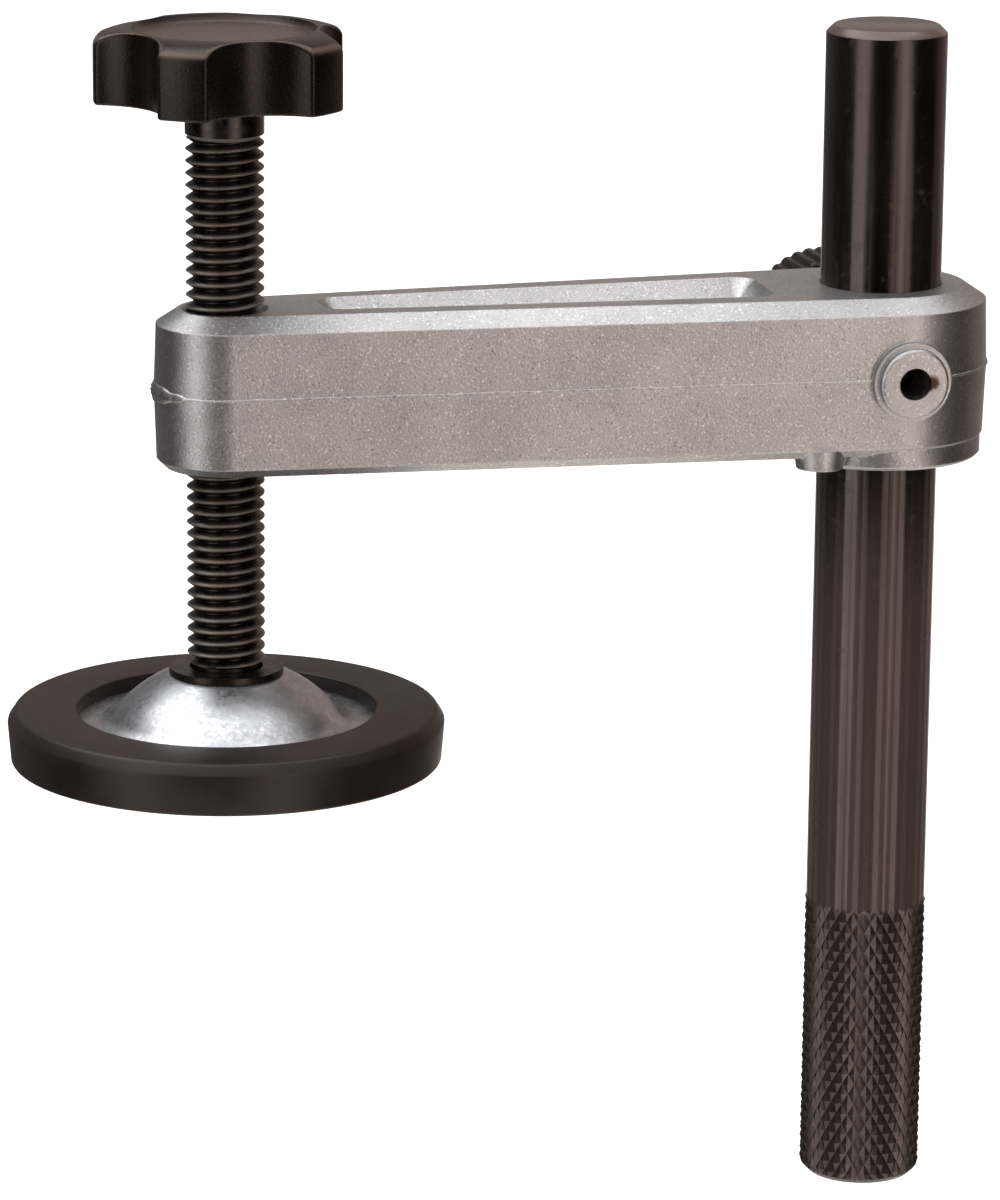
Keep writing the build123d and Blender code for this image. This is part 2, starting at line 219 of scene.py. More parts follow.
def piece_from(bm, name, sharp_angle):
    """Object made of a bmesh, smooth except at edges sharper than the angle."""
    bmesh.ops.remove_doubles(bm, verts=bm.verts, dist=MERGE_DISTANCE)
    bmesh.ops.dissolve_degenerate(bm, edges=bm.edges, dist=MERGE_DISTANCE)
    bmesh.ops.recalc_face_normals(bm, faces=bm.faces)
    mesh = bpy.data.meshes.new(name)
    bm.to_mesh(mesh)
    bm.free()
    mesh.polygons.foreach_set("use_smooth", [True] * len(mesh.polygons))
    mesh.set_sharp_from_angle(angle=math.radians(sharp_angle))
    made = bpy.data.objects.new(name, mesh)
    bpy.context.scene.collection.objects.link(made)
    return made


def softened(corners, steps=5):
    """Profile points with each corner (radius, height, round) eased by its round."""
    points = []
    for before, here, after in zip(
        [corners[-1], *corners[:-1]], corners, [*corners[1:], corners[0]]
    ):
        corner = Vector(here[:2])
        reach = here[2]
        if reach == 0:
            points.append(tuple(corner))
            continue
        back = (Vector(before[:2]) - corner).normalized() * reach
        ahead = (Vector(after[:2]) - corner).normalized() * reach
        for step in range(steps + 1):
            s = step / steps
            points.append(tuple(corner + back * (1 - s) ** 2 + ahead * s**2))
    return points


def add_point(bm, radius, angle, height):
    """A vertex at a radius and an angle round the local Z axis."""
    return bm.verts.new((radius * math.cos(angle), radius * math.sin(angle), height))


def add_ring(bm, radius, height, columns):
    """One ring of vertices round the local Z axis, or a single one on the axis."""
    if radius < MERGE_DISTANCE:
        return [bm.verts.new((0, 0, height))]
    return [add_point(bm, radius, TURN * i / columns, height) for i in range(columns)]


def join_rings(bm, first, second):
    """Faces between two rings, either of which may be a single point."""
    count = max(len(first), len(second))
    if len(first) == 1 and len(second) == 1:
        return
    for i in range(count):
        j = (i + 1) % count
        corners = []
        for ring, order in ((first, (i, j)), (second, (j, i))):
            corners += [ring[0]] if len(ring) == 1 else [ring[k] for k in order]
        bm.faces.new(corners)


def join_in_turn(bm, rings):
    """Faces from each ring of a list to the next."""
    for first, second in zip(rings, rings[1:]):
        join_rings(bm, first, second)


def turn_profile(bm, profile, closed=False, columns=SEGMENTS):
    """Adds the surface that a profile of (radius, height) points sweeps round Z."""
    rings = [add_ring(bm, radius, height, columns) for radius, height in profile]
    join_in_turn(bm, rings)
    if closed:
        join_rings(bm, rings[-1], rings[0])


def upright(x):
    """Turns a local Z axis into the vertical axis at x."""
    return Matrix.Translation((x, 0, 0))


def across():
    """Turns a local Z axis into the cross screw's axis, which points at +Y."""
    return Matrix.Translation((0, 0, cross_z)) @ Matrix.Rotation(-math.pi / 2, 4, "X")


def triangle_wave(value):
    """1 midway between whole numbers and 0 at them."""
    return 1 - abs(2 * (value - math.floor(value)) - 1)


# Post


def knurl_radius(u, v, z):
    """Radius of the diamond knurl, cut off by the chamfer at the post's lower end."""
    height = min(triangle_wave(u + v), triangle_wave(u - v))
    radius = KNURL_CREST - KNURL_DEPTH * (1 - height)
    return min(radius, KNURL_CREST - POST_CHAMFER + (z - post_low.z))


def build_post():
    """Turned bar whose lower length carries a raised diamond knurl."""
    bm = bmesh.new()
    columns = KNURL_DIAMONDS * KNURL_CELLS
    row_height = KNURL_PITCH / KNURL_CELLS
    rows = round(-post_low.z / row_height)
    rings = []
    for j in range(rows + 1):
        z = -j * -post_low.z / rows
        ring = []
        for i in range(columns):
            radius = knurl_radius(i / KNURL_CELLS, j / KNURL_CELLS, z)
            ring.append(add_point(bm, radius, TURN * i / columns, z))
        rings.append(ring)
    for j in range(rows):
        upper, lower = rings[j], rings[j + 1]
        for i in range(columns):
            k = (i + 1) % columns
            if (i - j) % KNURL_CELLS == 0:
                bm.faces.new((upper[i], upper[k], lower[k]))
                bm.faces.new((upper[i], lower[k], lower[i]))
            elif (i + j + 1) % KNURL_CELLS == 0:
                bm.faces.new((upper[i], upper[k], lower[i]))
                bm.faces.new((upper[k], lower[k], lower[i]))
            else:
                bm.faces.new((upper[i], upper[k], lower[k], lower[i]))
    join_rings(bm, rings[-1], add_ring(bm, 0, post_low.z, columns))
    above = [
        (POST_RADIUS, KNURL_STEP),
        (POST_RADIUS, post_high.z - POST_CHAMFER - POST_EDGE_BEFORE),
        (POST_RADIUS - POST_EDGE_AFTER, post_high.z - POST_CHAMFER + POST_EDGE_AFTER),
        (POST_RADIUS - POST_CHAMFER + POST_EDGE_AFTER, post_high.z - POST_EDGE_AFTER),
        (POST_RADIUS - POST_CHAMFER - POST_EDGE_BEFORE, post_high.z),
        (0, post_high.z),
    ]
    plain = [add_ring(bm, radius, height, columns) for radius, height in above]
    join_in_turn(bm, [rings[0], *plain])
    post_bar = piece_from(bm, "post_bar", sharp_angle=25.0)
    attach(post_bar, "post")
    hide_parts("post")
    return post_bar


# Threads


def thread_grid(bm, crest, depth, pitch, low, high, low_chamfer, columns):
    """Closed threaded length between two heights, along the local Z axis."""
    first_turn = math.floor(low / pitch) - SPARE_TURNS
    turns = math.ceil((high - low) / pitch) + 2 * SPARE_TURNS
    rows = []
    for turn in range(turns):
        for share, lift in THREAD_SHAPE:
            row = []
            for i in range(columns):
                z = pitch * (first_turn + turn + share + i / columns)
                limit = crest - low_chamfer + max(z - low, -low_chamfer)
                radius = min(crest - depth * (1 - lift), limit)
                row.append(add_point(bm, radius, TURN * i / columns, z))
            rows.append(row)
    per_turn = len(THREAD_SHAPE)
    for r in range(len(rows) - per_turn - 1):
        for i in range(columns):
            # the last column meets the first one, a turn further on
            shift, k = (0, i + 1) if i < columns - 1 else (per_turn, 0)
            ahead = (rows[r + shift][k], rows[r + shift + 1][k])
            bm.faces.new((rows[r][i], *ahead, rows[r + 1][i]))
    for height, direction in ((low, -1), (high, 1)):
        cut = bmesh.ops.bisect_plane(
            bm,
            geom=bm.verts[:] + bm.edges[:] + bm.faces[:],
            plane_co=(0, 0, height),
            plane_no=(0, 0, direction),
            clear_outer=True,
        )
        rim = [e for e in cut["geom_cut"] if isinstance(e, bmesh.types.BMEdge)]
        bmesh.ops.contextual_create(bm, geom=rim)
    loose = [v for v in bm.verts if not v.link_faces]
    bmesh.ops.delete(bm, geom=loose, context="VERTS")


def build_spindle():
    """Threaded spindle with the shank under the knob and the neck that holds the pad."""
    bm = bmesh.new()
    size = (THREAD_RADIUS, THREAD_DEPTH, THREAD_PITCH)
    thread_grid(bm, *size, THREAD_END, THREAD_START, THREAD_END_CHAMFER, SPINDLE_COLUMNS)
    turn_profile(
        bm,
        [
            (0, THREAD_START - CORE_BITE),
            (CORE_RADIUS, THREAD_START - CORE_BITE),
            (CORE_RADIUS, THREAD_START + THREAD_OVERLAP),
            (SHANK_RADIUS - SHANK_INSET, THREAD_START + THREAD_OVERLAP),
            (SHANK_RADIUS - SHANK_EDGE_IN, THREAD_START + SHANK_CHAMFER - SHANK_EDGE_HALF),
            (SHANK_RADIUS, THREAD_START + SHANK_CHAMFER + SHANK_EDGE_HALF),
            (SHANK_RADIUS, spindle_high.z),
            (0, spindle_high.z),
        ],
        columns=SPINDLE_COLUMNS,
    )
    turn_profile(
        bm,
        [
            (0, spindle_low.z),
            (NECK_RADIUS - NECK_CHAMFER, spindle_low.z),
            (NECK_RADIUS, spindle_low.z + NECK_CHAMFER),
            (NECK_RADIUS, GROOVE_TOP - GROOVE_WIDTH),
            (GROOVE_RADIUS, GROOVE_TOP - GROOVE_WIDTH),
            (GROOVE_RADIUS, GROOVE_TOP),
            (NECK_RADIUS, GROOVE_TOP),
            (NECK_RADIUS, THREAD_END - THREAD_OVERLAP),
            (CORE_RADIUS, THREAD_END - THREAD_OVERLAP),
            (CORE_RADIUS, THREAD_END + CORE_BITE),
            (0, THREAD_END + CORE_BITE),
        ],
        columns=SPINDLE_COLUMNS,
    )
    bm.transform(upright(spindle_x))
    spindle_screw = piece_from(bm, "spindle_screw", sharp_angle=28.0)
    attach(spindle_screw, "spindle")
    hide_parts("spindle")
    return spindle_screw


def build_lock_screw():
    """Cross screw, threaded over the length that enters the arm."""
    bm = bmesh.new()
    size = (screw_high.x, CROSS_DEPTH, CROSS_PITCH)
    hub_end = grip_low.y + GRIP_HUB_LENGTH
    thread_grid(bm, *size, screw_low.y, hub_end, CROSS_CHAMFER, CROSS_COLUMNS)
    core = screw_high.x - CROSS_DEPTH
    turn_profile(
        bm,
        [
            (0, grip_low.y),
            (core, grip_low.y),
            (core, hub_end + THREAD_OVERLAP),
            (screw_high.x, hub_end + THREAD_OVERLAP),
            (screw_high.x, screw_high.y),
            (0, screw_high.y),
        ],
        columns=CROSS_COLUMNS,
    )
    bm.transform(across())
    cross_screw = piece_from(bm, "cross_screw", sharp_angle=28.0)
    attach(cross_screw, "lock_feed")
    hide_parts("lock_screw")
    return cross_screw


# Knobs


def lobed_outline(steps_per_arc=18):
    """Outline of the five-lobe knob as (point, outward direction) pairs, corners eased."""
    pitch = TURN / KNOB_LOBES
    lobe = math.radians(KNOB_LOBE_ANGLE)
    half_gap = (pitch - lobe) / 2
    half_width = KNOB_RADIUS * math.sin(half_gap)
    scoop = (half_width**2 + KNOB_SCALLOP_DEPTH**2) / (2 * KNOB_SCALLOP_DEPTH)
    scoop_centre = KNOB_RADIUS * math.cos(half_gap) - KNOB_SCALLOP_DEPTH + scoop
    scoop_half = math.asin(half_width / scoop)
    corner_turn = KNOB_CORNER_ROUND / KNOB_RADIUS
    corner_scoop = KNOB_CORNER_ROUND / scoop
    outline = []
    for n in range(KNOB_LOBES):
        middle = math.radians(KNOB_LOBE_DIRECTION) + n * pitch
        for k in range(steps_per_arc + 1):
            a = middle + (lobe - 2 * corner_turn) * (k / steps_per_arc - 0.5)
            outward = Vector((math.cos(a), math.sin(a)))
            outline.append((outward * KNOB_RADIUS, outward))
        gap_middle = middle + pitch / 2
        axis = Vector((math.cos(gap_middle), math.sin(gap_middle)))
        side = Vector((-axis.y, axis.x))
        scooped = []
        for k in range(2 * steps_per_arc + 1):
            b = (scoop_half - corner_scoop) * (k / steps_per_arc - 1)
            point = axis * (scoop_centre - scoop * math.cos(b)) + side * scoop * math.sin(b)
            outward = axis * math.cos(b) - side * math.sin(b)
            scooped.append((point, outward))
        outline += eased_corner(outline[-1], scooped[0])
        outline += scooped
        next_start = middle + pitch - (lobe - 2 * corner_turn) / 2
        outward = Vector((math.cos(next_start), math.sin(next_start)))
        outline += eased_corner(scooped[-1], (outward * KNOB_RADIUS, outward))
    return outline


def eased_corner(start, end, steps=4):
    """Points that turn smoothly from one (point, outward) pair to another."""
    along_start = Vector((-start[1].y, start[1].x))
    along_end = Vector((-end[1].y, end[1].x))
    across_gap = end[0] - start[0]
    spread = along_start.x * along_end.y - along_start.y * along_end.x
    reach = (across_gap.x * along_end.y - across_gap.y * along_end.x) / spread
    corner = start[0] + along_start * reach
    eased = []
    for k in range(1, steps):
        s = k / steps
        point = start[0] * (1 - s) ** 2 + corner * 2 * s * (1 - s) + end[0] * s**2
        eased.append((point, (start[1] * (1 - s) + end[1] * s).normalized()))
    return eased


def knob_crown(radius):
    """Drop of the knob's crowned top below its highest ring, at a distance from the axis."""
    return KNOB_CROWN_DROP * (max(0.0, radius - KNOB_DISH_RADIUS) / KNOB_CROWN_WIDTH) ** 2


def knob_edge_round(share):
    """Rounding of the knob's top edge, fine in the scoops at 0 and generous on the lobes at 1."""
    return KNOB_SCOOP_EDGE_ROUND + (KNOB_LOBE_EDGE_ROUND - KNOB_SCOOP_EDGE_ROUND) * share**2


def circle_ring(bm, outline, radius, height):
    """Ring on a circle, with its vertices in line with the outline's."""
    ring = []
    for point, _ in outline:
        placed = point.normalized() * radius
        ring.append(bm.verts.new((placed.x, placed.y, height)))
    return ring


def build_knob():
    """Five-lobe moulded knob: crowned top, shallow dish, hollow core underneath."""
    bm = bmesh.new()
    outline = lobed_outline()
    top, foot = knob_high.z, knob_low.z
    scoop_floor = min(point.length for point, _ in outline)

    def edge_round(point):
        """Rounding of the top edge at a point of the outline."""
        return knob_edge_round((point.length - scoop_floor) / (KNOB_RADIUS - scoop_floor))

    rings = []
    dish_floor = KNOB_DISH_RADIUS - KNOB_DISH_SLOPE
    crest = KNOB_DISH_RADIUS - KNOB_DISH_CREST_ROUND
    for radius, height in softened(
        [
            (dish_floor * KNOB_DISH_INNER_SHARE, top - KNOB_DISH_DEPTH, 0),
            (dish_floor, top - KNOB_DISH_DEPTH, KNOB_DISH_FLOOR_ROUND),
            (crest, top, KNOB_DISH_CREST_ROUND),
            (KNOB_DISH_RADIUS + KNOB_DISH_CREST_STEP, top, 0),
        ],
        steps=3,
    ):
        rings.append(circle_ring(bm, outline, radius, height))
    for share in KNOB_TOP_SHARES:
        ring = []
        for point, outward in outline:
            edge = point - outward * edge_round(point)
            placed = (point.normalized() * KNOB_DISH_RADIUS).lerp(edge, share)
            ring.append(bm.verts.new((placed.x, placed.y, top - knob_crown(placed.length))))
        rings.append(ring)
    for k in range(KNOB_EDGE_STEPS + 1):
        angle = math.pi / 2 * k / KNOB_EDGE_STEPS
        inset, fall = 1 - math.sin(angle), 1 - math.cos(angle)
        ring = []
        for point, outward in outline:
            moved = point - outward * (edge_round(point) * inset)
            height = top - knob_crown(moved.length) - edge_round(point) * fall
            ring.append(bm.verts.new((moved.x, moved.y, height)))
        rings.append(ring)
    for k in range(KNOB_FOOT_STEPS + 1):
        angle = math.pi / 2 * k / KNOB_FOOT_STEPS
        inset = KNOB_FOOT_ROUND * (1 - math.cos(angle))
        height = foot + KNOB_FOOT_ROUND * (1 - math.sin(angle))
        places = [point - outward * inset for point, outward in outline]
        rings.append([bm.verts.new((place.x, place.y, height)) for place in places])
    for radius, height in (
        (KNOB_CORE_OUTER, foot),
        (KNOB_CORE_OUTER, foot + KNOB_CORE_DEPTH),
        (KNOB_CORE_INNER, foot + KNOB_CORE_DEPTH),
        (KNOB_CORE_INNER, foot),
        (KNOB_BORE, foot),
        (KNOB_BORE, foot + KNOB_BORE_DEPTH),
    ):
        rings.append(circle_ring(bm, outline, radius, height))
    join_in_turn(bm, rings)
    join_rings(bm, rings[0], [bm.verts.new((0, 0, top - KNOB_DISH_DEPTH))])
    join_rings(bm, rings[-1], [bm.verts.new((0, 0, foot + KNOB_BORE_DEPTH))])
    bm.transform(upright(spindle_x))
    lobed_knob = piece_from(bm, "lobed_knob", sharp_angle=38.0)
    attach(lobed_knob, "spindle")
    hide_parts("spindle_knob")
    return lobed_knob


def build_grip():
    """Ribbed lock knob: straight ribs round its rim and a hub towards the arm."""
    bm = bmesh.new()
    columns = GRIP_RIBS * GRIP_CELLS
    start, end = grip_low.y, grip_high.y
    rim_start = start + GRIP_HUB_LENGTH
    corners = softened(
        [
            (GRIP_BORE, start, 0),
            (GRIP_HUB_RADIUS, start, GRIP_SMALL_ROUND),
            (GRIP_HUB_RADIUS, rim_start, 0),
            (GRIP_RADIUS, rim_start, GRIP_ROUND),
            (GRIP_RADIUS, end, GRIP_ROUND),
            (GRIP_CAP_RADIUS, end, GRIP_SMALL_ROUND),
            (GRIP_CAP_RADIUS, end - GRIP_CAP_DEPTH, GRIP_SMALL_ROUND),
            (0, end - GRIP_CAP_DEPTH, 0),
            (0, start + GRIP_BORE_DEPTH, 0),
            (GRIP_BORE, start + GRIP_BORE_DEPTH, 0),
        ]
    )
    rings = []
    for radius, height in corners:
        ring = add_ring(bm, radius, height, columns)
        if len(ring) > 1:
            for i, vertex in enumerate(ring):
                bite = max(0.0, (radius - GRIP_RADIUS + 2 * GRIP_RIB_DEPTH) / (2 * GRIP_RIB_DEPTH))
                wave = 0.5 - 0.5 * math.cos(TURN * i * GRIP_RIBS / columns)
                less = GRIP_RIB_DEPTH * min(1.0, bite) * wave**2 / radius
                vertex.co.x *= 1 - less
                vertex.co.y *= 1 - less
        rings.append(ring)
    for first, second in zip(rings, [*rings[1:], rings[0]]):
        if len(first) > 1 or len(second) > 1:
            join_rings(bm, first, second)
    bm.transform(across())
    ribbed_grip = piece_from(bm, "ribbed_grip", sharp_angle=38.0)
    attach(ribbed_grip, "lock_grip")
    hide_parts("lock_knob")
    return ribbed_grip


# Pad


def build_dome():
    """Pressed dome plate with a flat seat, soft shoulder and foot, and a wide flange."""
    top = dome_high.z
    foot = top - DOME_DROP
    centre = top - math.sqrt(DOME_RADIUS**2 - DOME_SEAT_RADIUS**2)

    def arc(radius, z_from, z_to):
        """Points of the dome's section on a circle, between two heights."""
        start = math.acos((z_from - centre) / radius)
        end = math.acos((z_to - centre) / radius)
        angles = [start + (end - start) * k / DOME_STEPS for k in range(DOME_STEPS + 1)]
        return [(radius * math.sin(a), centre + radius * math.cos(a)) for a in angles]

    outer = arc(DOME_RADIUS, top, foot)
    inner = arc(DOME_RADIUS - PLATE, top - PLATE, foot - PLATE)
    corners = [
        (DOME_HOLE_RADIUS, top, DOME_HOLE_ROUND),
        (*outer[0], DOME_SHOULDER_ROUND),
        *((*point, 0) for point in outer[DOME_END_POINTS:-DOME_END_POINTS]),
        (*outer[-1], DOME_FOOT_ROUND),
        (DOME_FLANGE_RADIUS, foot, DOME_RIM_ROUND),
        (DOME_FLANGE_RADIUS, foot - PLATE, 0),
        *((*point, 0) for point in reversed(inner)),
        (DOME_HOLE_RADIUS, top - PLATE, 0),
    ]
    bm = bmesh.new()
    turn_profile(bm, softened(corners), closed=True)
    bm.transform(upright(spindle_x))
    dome_plate = piece_from(bm, "dome_plate", sharp_angle=35.0)
    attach(dome_plate, "pad")
    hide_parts("pad_dome")
    return dome_plate


def build_pad():
    """Moulded pad that grips the dome plate's flange in a groove under its lip."""
    top, foot = pad_high.z, pad_low.z
    seat = dome_high.z - DOME_DROP
    corners = [
        (0, foot, 0),
        (PAD_FOOT_RADIUS, foot, PAD_SMALL_ROUND),
        (PAD_RADIUS, top - PAD_SHOULDER_DROP, PAD_SHOULDER_ROUND),
        (PAD_TOP_RADIUS, top, PAD_SMALL_ROUND),
        (PAD_OPENING_RADIUS, top, PAD_OPENING_ROUND),
        (PAD_OPENING_RADIUS, seat, 0),
        (PAD_GROOVE_RADIUS, seat, 0),
        (PAD_GROOVE_RADIUS, seat - PLATE, 0),
        (PAD_WELL_RADIUS, seat - PLATE, 0),
        (PAD_WELL_RADIUS, seat - PLATE - PAD_WELL_DEPTH, 0),
        (0, seat - PLATE - PAD_WELL_DEPTH, 0),
    ]
    bm = bmesh.new()
    turn_profile(bm, softened(corners), columns=2 * SEGMENTS)
    bm.transform(upright(spindle_x))
    pad_cap = piece_from(bm, "pad_cap", sharp_angle=35.0)
    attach(pad_cap, "pad")
    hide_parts("pad_ring")
    return pad_cap


# Casting flash


def arm_outline_at(distance):
    """Point and outward direction on the arm's outline at the parting height.

    The distance runs from the front of the post end, left along the front face, round
    the spindle end and back along the rear face to the rear of the post end.
    """
    front = Vector((-math.sin(ARM_LEAN), -math.cos(ARM_LEAN)))
    nose = ARM_SPINDLE_RADIUS * NOSE_TURN
    if distance < ARM_FLAT:
        start = front * ARM_POST_RADIUS
        end = Vector((spindle_x, 0)) + front * ARM_SPINDLE_RADIUS
        return start.lerp(end, distance / ARM_FLAT), front
    if distance < ARM_FLAT + nose:
        angle = (distance - ARM_FLAT) / ARM_SPINDLE_RADIUS
        outward = front.copy()
        outward.rotate(Matrix.Rotation(-angle, 2))
        return Vector((spindle_x, 0)) + outward * ARM_SPINDLE_RADIUS, outward
    rear = Vector((front.x, -front.y))
    share = (distance - ARM_FLAT - nose) / ARM_FLAT
    start = Vector((spindle_x, 0)) + rear * ARM_SPINDLE_RADIUS
    return start.lerp(rear * ARM_POST_RADIUS, share), rear


def flash_path():
    """Points of the flash with outward directions, from boss to boss, both ways round."""
    whole = 2 * ARM_FLAT + ARM_SPINDLE_RADIUS * NOSE_TURN
    skip = BOSS_HALF_WIDTH - ARM_POST_RADIUS * math.sin(ARM_LEAN)
    steps = int((whole - 2 * skip) / FLASH_STEP)
    left = [arm_outline_at(skip + (whole - 2 * skip) * k / steps) for k in range(steps + 1)]
    edge = math.asin(BOSS_HALF_WIDTH / ARM_POST_RADIUS)
    sweep = math.pi - 2 * edge
    steps = int(ARM_POST_RADIUS * sweep / FLASH_STEP)
    right = []
    for k in range(steps + 1):
        a = -math.pi / 2 + edge + sweep * k / steps
        outward = Vector((math.cos(a), math.sin(a)))
        right.append((outward * ARM_POST_RADIUS, outward))
    return left, right


def nub_share(outward):
    """Share of the torn nub, which spans the nose's left side, by the outward direction."""
    angle = math.degrees(math.atan2(outward.y, outward.x)) % 360
    grown = min(1.0, max(0.0, (angle - NUB_START) / NUB_FADE))
    left = min(1.0, max(0.0, (NUB_END - angle) / NUB_FADE))
    return min(grown, left) ** NUB_FULLNESS


def build_flash():
    """Thin uneven fin where the casting's halves met, with a torn nub at the nose.

    On the front face it is broken up into specks between the nose and the boss.
    """
    bm = bmesh.new()
    specks_from = spindle_x + FLASH_SPECKS_PAST_NOSE
    specks_to = -BOSS_HALF_WIDTH - FLASH_SPECKS_BEFORE_BOSS
    for path in flash_path():
        rings = []
        for point, outward in path:
            place = Vector((point.x, point.y, PARTING_Z))
            rough = (
                noise.noise(place * ROUGH_CELLS) * 0.5 + noise.noise(place * FINE_ROUGH_CELLS) * 0.5
            )
            proud = FLASH_PROUD * (0.75 + 0.65 * rough)
            half = FLASH_HALF_THICKNESS * (1 + 0.35 * noise.noise(place * THICKNESS_CELLS))
            rise = FLASH_RISE * noise.noise(place * RISE_CELLS)
            nub = nub_share(outward)
            proud += NUB_PROUD * nub * (0.8 + 1.2 * noise.noise(place * NUB_PROUD_CELLS))
            half += NUB_HALF_THICKNESS * nub * (0.9 + 0.4 * noise.noise(place * NUB_THICKNESS_CELLS))
            if specks_from < point.x < specks_to and outward.y < 0:
                proud *= min(1.0, 0.1 + 3.2 * max(0.0, noise.noise(place * SPECK_CELLS)))
            rise -= NUB_DROP * nub
            ring = []
            for up_share in FLASH_SECTION:
                lump_place = (place + Vector((0, 0, up_share * half))) * LUMP_CELLS
                lump = 1 + (0.25 + 0.6 * nub) * noise.noise(lump_place)
                bulge = max(0.0, 1 - abs(up_share) ** 2.5)
                reach = proud * bulge * lump if abs(up_share) < 1 else -FLASH_ROOT
                x = point.x + outward.x * reach
                y = point.y + outward.y * reach
                ring.append(bm.verts.new((x, y, PARTING_Z + rise + half * up_share)))
            rings.append(ring)
        join_in_turn(bm, rings)
        bm.faces.new(rings[0])
        bm.faces.new(rings[-1])
    casting_flash = piece_from(bm, "casting_flash", sharp_angle=60.0)
    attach(casting_flash, "arm")
    return casting_flash


# Materials

# Colours, in linear red, green and blue
WHITE = (1.0, 1.0, 1.0)
BLACK = (0.0, 0.0, 0.0)
CAST_SHADE = (0.385, 0.388, 0.396)
CAST_LIGHT = (0.448, 0.453, 0.463)
CAST_GLINT = (0.74, 0.74, 0.745)
CAST_PIT = (0.25, 0.235, 0.23)
CAST_CHIP = (0.07, 0.04, 0.025)
STEEL_BLACK = (0.0015, 0.001, 0.0008)
STEEL_DRIFT = (0.006, 0.004, 0.003)
STEEL_BROWNED = (0.047, 0.0335, 0.0305)
STEEL_FOOT = (0.016, 0.0105, 0.009)
STEEL_STAIN = (0.034, 0.022, 0.017)
STEEL_SCRATCH = (0.03, 0.024, 0.021)
# Worn steel, also lighter as a painted glint on the knurl crests and the top chamfer
STEEL_WORN_GLINT = (0.17, 0.13, 0.115)
STEEL_SHEEN = (1.0, 0.86, 0.81)
SCREW_BLACK = (0.0014, 0.001, 0.0008)
SCREW_BLOTCH = (0.006, 0.0045, 0.0034)
# Worn screw steel, also a painted highlight along the thread crests
SCREW_WORN_HIGHLIGHT = (0.12, 0.105, 0.086)
SCREW_SHEEN = (1.0, 0.9, 0.82)
ZINC_CLOUD = (0.36, 0.378, 0.405)
ZINC_BRIGHT = (0.60, 0.61, 0.62)
ZINC_SPANGLE = (0.40, 0.42, 0.45)
KNOB_BLACK = (0.003, 0.0023, 0.002)
KNOB_CLOUD = (0.0055, 0.0043, 0.0038)
# Painted highlight: a lighter colour for the knob's dish floor, crown and rubbed top edges
KNOB_WORN_HIGHLIGHT = (0.115, 0.082, 0.068)
KNOB_SHEEN = (0.5, 0.43, 0.4)
PAD_BROWN = (0.011, 0.0062, 0.0054)
PAD_CLOUD = (0.018, 0.011, 0.0098)
PAD_SCUFF = (0.036, 0.025, 0.023)
FLOOR_PALE = (0.86, 0.855, 0.85)

# A mix node's colour sockets
COLOUR_A = 6
COLOUR_B = 7
COLOUR_RESULT = 2

# Places and sizes in the materials
CAST_EDGE_RADIUS = 0.35 * MM
CHIP_PLACE = (2.55 * MM, arm_low.y, cross_z + 0.1 * MM)
CHIP_SPAN = (1.5 * MM, 0.7 * MM)
CHIP_WOBBLE = 0.9 * MM
DULLED_SPAN = (78 * MM, 45 * MM)
FOOT_SPAN = (1 * MM, -1 * MM)


class Shader:
    """Short ways to add and join the nodes of one material or world."""

    def __init__(self, tree):
        self.tree = tree
        self.nodes = tree.nodes

    def add(self, kind, **settings):
        """Adds a node and sets its properties."""
        node = self.nodes.new(kind)
        for name, value in settings.items():
            setattr(node, name, value)
        return node

    def join(self, output, target):
        """Links an output to a socket."""
        self.tree.links.new(output, target)

    def fill(self, socket, value):
        """Links an output to a socket, or writes a number or a colour there."""
        if isinstance(value, bpy.types.NodeSocket):
            self.join(value, socket)
        else:
            socket.default_value = (*value, 1.0) if isinstance(value, tuple) else value

    def fill_named(self, node, **values):
        """Fills sockets by their names, written with _ for each space."""
        for name, value in values.items():
            self.fill(node.inputs[name.replace("_", " ")], value)

    def maths(self, operation, *values):
        """Result of an operation on numbers or outputs."""
        node = self.add("ShaderNodeMath", operation=operation)
        for socket, value in zip(node.inputs, values):
            self.fill(socket, value)
        return node.outputs[0]

    def smooth_step(self, value, span, result=(0.0, 1.0)):
        """Goes smoothly from one result to the other as a value crosses the span."""
        node = self.add("ShaderNodeMapRange", interpolation_type="SMOOTHSTEP")
        self.fill_named(node, Value=value, From_Min=span[0], From_Max=span[1])
        self.fill_named(node, To_Min=result[0], To_Max=result[1])
        return node.outputs["Result"]

    def speckle(self, place, scale, detail=3.0, rough=0.55, stretch=None):
        """Noise between 0 and 1 over the piece, stretched along an axis if asked."""
        if stretch:
            mapping = self.add("ShaderNodeMapping")
            mapping.inputs["Scale"].default_value = stretch
            self.join(place, mapping.inputs["Vector"])
            place = mapping.outputs["Vector"]
        node = self.add("ShaderNodeTexNoise")
        self.fill_named(node, Scale=scale, Detail=detail, Roughness=rough, Vector=place)
        return node.outputs["Fac"]

    def blend(self, share, first, second):
        """Colour between two colours, each written or linked."""
        node = self.add("ShaderNodeMix", data_type="RGBA")
        self.fill(node.inputs["Factor"], share)
        self.fill(node.inputs[COLOUR_A], first)
        self.fill(node.inputs[COLOUR_B], second)
        return node.outputs[COLOUR_RESULT]

    def fade(self, value, span, first, second):
        """Colour that goes from the first to the second as a value crosses the span."""
        return self.blend(self.smooth_step(value, span), first, second)

    def bump(self, height, strength, distance, normal=None):
        """Normal tilted by a height map, on top of another normal if asked."""
        node = self.add("ShaderNodeBump")
        self.fill_named(node, Strength=strength, Distance=distance, Height=height)
        if normal is not None:
            self.join(normal, node.inputs["Normal"])
        return node.outputs["Normal"]


